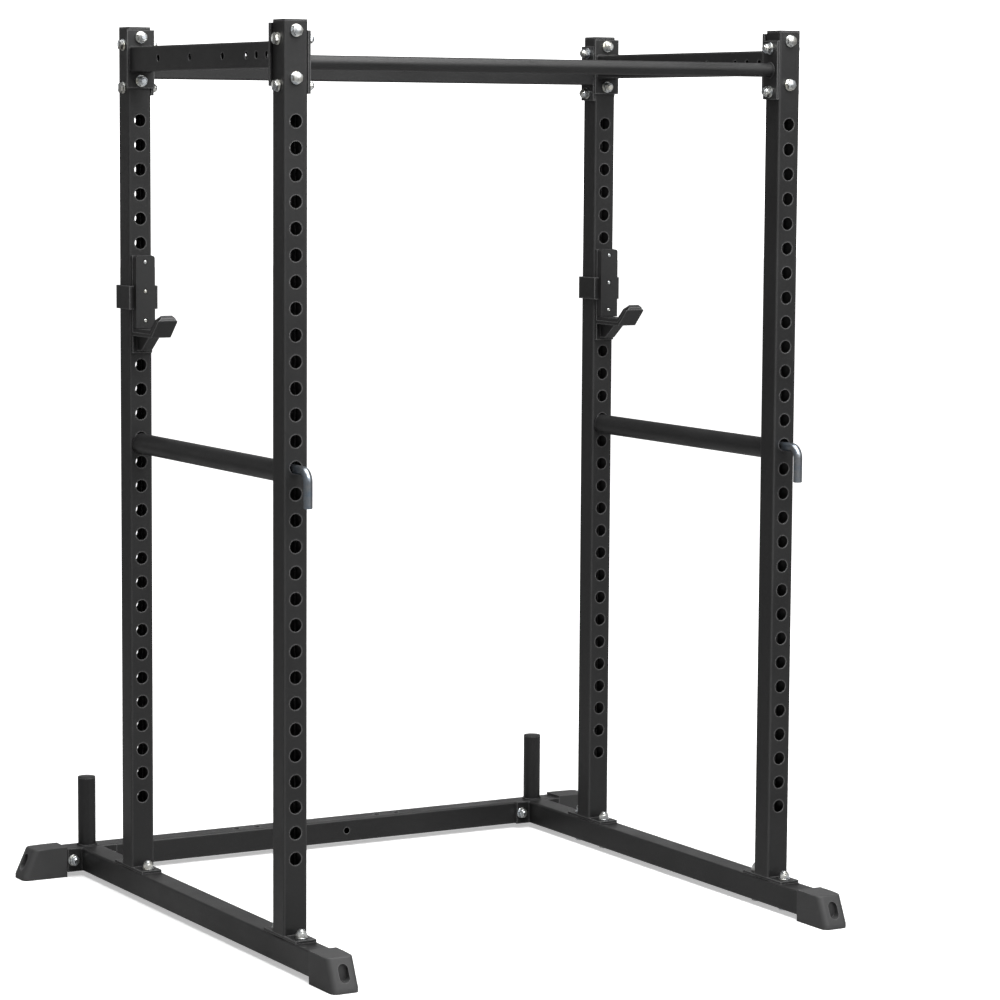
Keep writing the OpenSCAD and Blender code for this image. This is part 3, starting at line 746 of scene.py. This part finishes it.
def makePipe(side):
    low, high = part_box(f"safety_pipe_{side}")
    length = high[1] - low[1]
    outer, inner, edge = pipe["radius"], pipe["radius"] - pipe["wall"], pipe["edge"]
    tube = turned([(inner + edge, 0), (outer - edge, 0), (outer, edge), (outer, length - edge),
                   (outer - edge, length), (inner + edge, length), (inner, length - edge), (inner, edge)],
                  64, ring=True)
    return laidInBox(tube, low, high)


def makePin(side):
    # A straight rod turned to its chamfered nose, with its front end spun down into a bent leg
    low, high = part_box(f"safety_pin_{side}")
    x = (low[0] + high[0]) / 2
    z = high[2] - pin["radius"]
    bendY = low[1] + pin["radius"] + pin["bend"]
    rod = turned([(pin["radius"], bendY), (pin["radius"], high[1] - pin["chamfer"]),
                  (pin["radius"] - pin["noseIn"] * pin["chamfer"],
                   high[1] - pin["noseBack"] * pin["chamfer"]),
                  (pin["radius"] - pin["chamfer"], high[1])], 40)
    rod.data.transform(layDown)
    pick(rod, "FACE", lambda face: face.normal.y < -0.999 and face.calc_center_median().y < bendY + mm)
    bpy.ops.mesh.spin(steps=pin["steps"], angle=math.pi / 2, center=(0, bendY, -pin["bend"]), axis=(-1, 0, 0))
    lowest = low[2] - z
    legEnd = [face for face in bmesh.from_edit_mesh(rod.data).faces if face.select][0]
    reached = legEnd.calc_center_median()
    edge = pin["legEdge"]
    bpy.ops.mesh.extrude_region_move(TRANSFORM_OT_translate={"value": (0, 0, lowest + edge - reached.z)})
    bpy.ops.mesh.extrude_region_move(TRANSFORM_OT_translate={"value": (0, 0, -edge)})
    share = 1 - edge / pin["radius"]
    bpy.ops.transform.resize(value=(share, share, 1), center_override=(0, reached.y, lowest))
    bpy.ops.mesh.select_all(action="SELECT")
    bpy.ops.mesh.remove_doubles(threshold=0.00001)
    bpy.ops.mesh.normals_make_consistent(inside=False)
    leaveEdit()
    rod.data.transform(Matrix.Translation((x, 0, z)))
    return smooth(rod)


def makePeg(side):
    low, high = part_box(f"hook_peg_{side}")
    radius, chamfer, rounding = peg["radius"], peg["chamfer"], peg["round"]
    length = high[1] - low[1]
    rod = turned([(radius, 0), (radius, length - chamfer - rounding),
                  (radius - peg["roundIn"] * rounding, length - chamfer),
                  (radius - chamfer, length - peg["roundBack"] * rounding),
                  (radius - chamfer - rounding, length)], 48)
    return laidInBox(rod, low, high)


def makeScrew(length):
    # Domed head with a hexagon socket, its face at Z = 0 and its shank running up
    shank, tip = screw["shank"], screw["tip"]
    head = [(across * screw["head"], up * screw["headHeight"]) for across, up in screw["dome"]]
    body = turned(head + [(shank, screw["headHeight"]), (shank, length - tip), (shank - tip, length)], 32)
    socket = turned([(screw["socket"], -mm), (screw["socket"], screw["socketDepth"])], 6)
    return smooth(combine(body, socket, "DIFFERENCE"), 32)


for side in sides:
    finish(makePipe(side), f"pipe_{side}", f"safety_pipe_{side}", "black_steel", f"safety_pipe_{side}")
    finish(makePin(side), f"pin_{side}", f"safety_pin_{side}", "zinc_pin", f"safety_pin_{side}")
    finish(makePeg(side), f"peg_{side}", f"bar_hook_{side}", "zinc_pin", f"hook_peg_{side}")
    low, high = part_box(f"hook_screws_{side}")
    screwModel = makeScrew(high[1] - low[1])
    spots = [((low[0] + high[0]) / 2, low[1], low[2] + screw["head"] + screw["spacing"] * k)
             for k in range(screw["count"])]
    screws = [copied(screwModel, Matrix.Translation(spot) @ layDown) for spot in spots]
    finish(joined(screws), f"pad_screws_{side}", f"bar_hook_{side}", "zinc_fastener", f"hook_screws_{side}")
    bpy.data.objects.remove(screwModel)
print("pipes, pins, pegs and screws ready")


# Weld beads, which a pass of overlapping puddles leaves rippled

weld = {"radius": 2.6 * mm, "thinRadius": 2.0 * mm, "ripple": 2.4 * mm, "swing": 0.13, "samples": 4,
        "unevenShare": 0.4, "unevenTurn": 0.37, "sink": 0.5 * mm, "footReach": 19 * mm, "plateReach": 21 * mm,
        "postRadius": 19 * mm, "barRadius": 14 * mm, "cornerCut": 3 * mm}
gussetWeld = {"apart": 12 * mm, "drop": 29 * mm, "reach": 54 * mm, "saddleRise": 36 * mm, "sink": 0.2 * mm}


def bead(points, radius, closed=False):
    # A rippled bead that follows the points
    corners = [Vector(point) for point in points]
    if closed:
        corners.append(corners[0])
    step = weld["ripple"] / weld["samples"]
    path = []
    for start, end in zip(corners, corners[1:]):
        count = max(2, round((end - start).length / step))
        path += [start.lerp(end, k / count) for k in range(count)]
    if not closed:
        path.append(corners[-1])
    shape = bpy.data.curves.new("bead", "CURVE")
    shape.dimensions = "3D"
    shape.bevel_depth = radius
    shape.bevel_resolution = 2
    shape.use_fill_caps = True
    spline = shape.splines.new("POLY")
    spline.points.add(len(path) - 1)
    for k, point in enumerate(path):
        swell = (math.sin(2 * math.pi * k / weld["samples"])
                 + weld["unevenShare"] * math.sin(weld["unevenTurn"] * k))
        spline.points[k].co = (*point, 1)
        spline.points[k].radius = 1 + weld["swing"] * swell
    spline.use_cyclic_u = closed
    piece = bpy.data.objects.new("bead", shape)
    bpy.context.collection.objects.link(piece)
    activate(piece)
    bpy.ops.object.convert(target="MESH")
    return smooth(bpy.context.object, 60)


def circle(x, y, z, radius, axis, count=48):
    # Points round a tube that stands along Z or lies along X
    turns = [2 * math.pi * k / count for k in range(count)]
    if axis == "Z":
        return [(x + radius * math.cos(a), y + radius * math.sin(a), z) for a in turns]
    return [(x, y + radius * math.cos(a), z + radius * math.sin(a)) for a in turns]


def square(x, y, z, half):
    # Points round a square tube that lies along Y, with its corners cut
    cut = half - weld["cornerCut"]
    return [(x + a, y, z + b) for a, b in ((-cut, -half), (cut, -half), (half, -cut), (half, cut),
                                           (cut, half), (-cut, half), (-half, cut), (-half, -cut))]


def frameBeads():
    half, plate, thick, plateReach = cage["tube"] / 2, cage["plate"], weld["radius"], weld["plateReach"]
    footZ, footReach = cage["railTop"] + plate, weld["footReach"]
    railEnd = cage["crossY"] - half - plate
    inner = cage["uprightX"] - half - plate
    beads = {}
    for side, sign in sides.items():
        x, lowX = sign * cage["uprightX"], sign * inner
        strips = []
        for y in (cage["frontY"], cage["rearY"]):
            for towards in (-1, 1):
                edge = y + towards * (half + weld["sink"])
                strips.append(bead([(x - footReach, edge, footZ), (x + footReach, edge, footZ)], thick))
        beads[f"foot_welds_{side}"] = joined(strips)
        beads[f"rail_welds_{side}"] = joined([
            bead([(x + towards * half, railEnd, cage["railZ"] - plateReach),
                  (x + towards * half, railEnd, cage["railZ"] + plateReach)], thick) for towards in (-1, 1)])
        beads[f"post_weld_{side}"] = bead(
            circle(x, cage["crossY"], cage["railTop"], weld["postRadius"], "Z"), thick, True)
        beads[f"beam_welds_{side}"] = joined([
            bead(square(x, y, cage["sideZ"], half), weld["thinRadius"], True)
            for y in (cage["frontY"] + half + plate, cage["rearY"] - half - plate)])
        beads[f"top_beam_welds_{side}"] = joined([
            bead([(lowX, cage["rearY"] - plateReach, cage["topZ"] + up * half),
                  (lowX, cage["rearY"] + plateReach, cage["topZ"] + up * half)], thick) for up in (-1, 1)])
        beads[f"chin_bar_weld_{side}"] = bead(
            circle(lowX, cage["frontY"], cage["topZ"], weld["barRadius"], "X"), thick, True)
    return beads


def gussetBead(x, plateY, saddleZ):
    # Up the back plate and forward under the saddle
    return bead([(x, plateY, saddleZ - gussetWeld["drop"]), (x, plateY, saddleZ),
                 (x, plateY - gussetWeld["reach"], saddleZ)], weld["thinRadius"])


for name, piece in frameBeads().items():
    finish(piece, name, "frame", "black_steel", coat="paintedWeld")
for side, sign in sides.items():
    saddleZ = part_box(f"hook_bracket_{side}")[0][2] + gussetWeld["saddleRise"]
    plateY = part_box(f"hook_face_pad_{side}")[1][1] - gussetWeld["sink"]
    x = sign * cage["uprightX"]
    finish(joined([gussetBead(x + towards * gussetWeld["apart"], plateY, saddleZ) for towards in (-1, 1)]),
           f"gusset_welds_{side}", f"bar_hook_{side}", "black_steel", coat="paintedWeld")
print("weld beads ready")
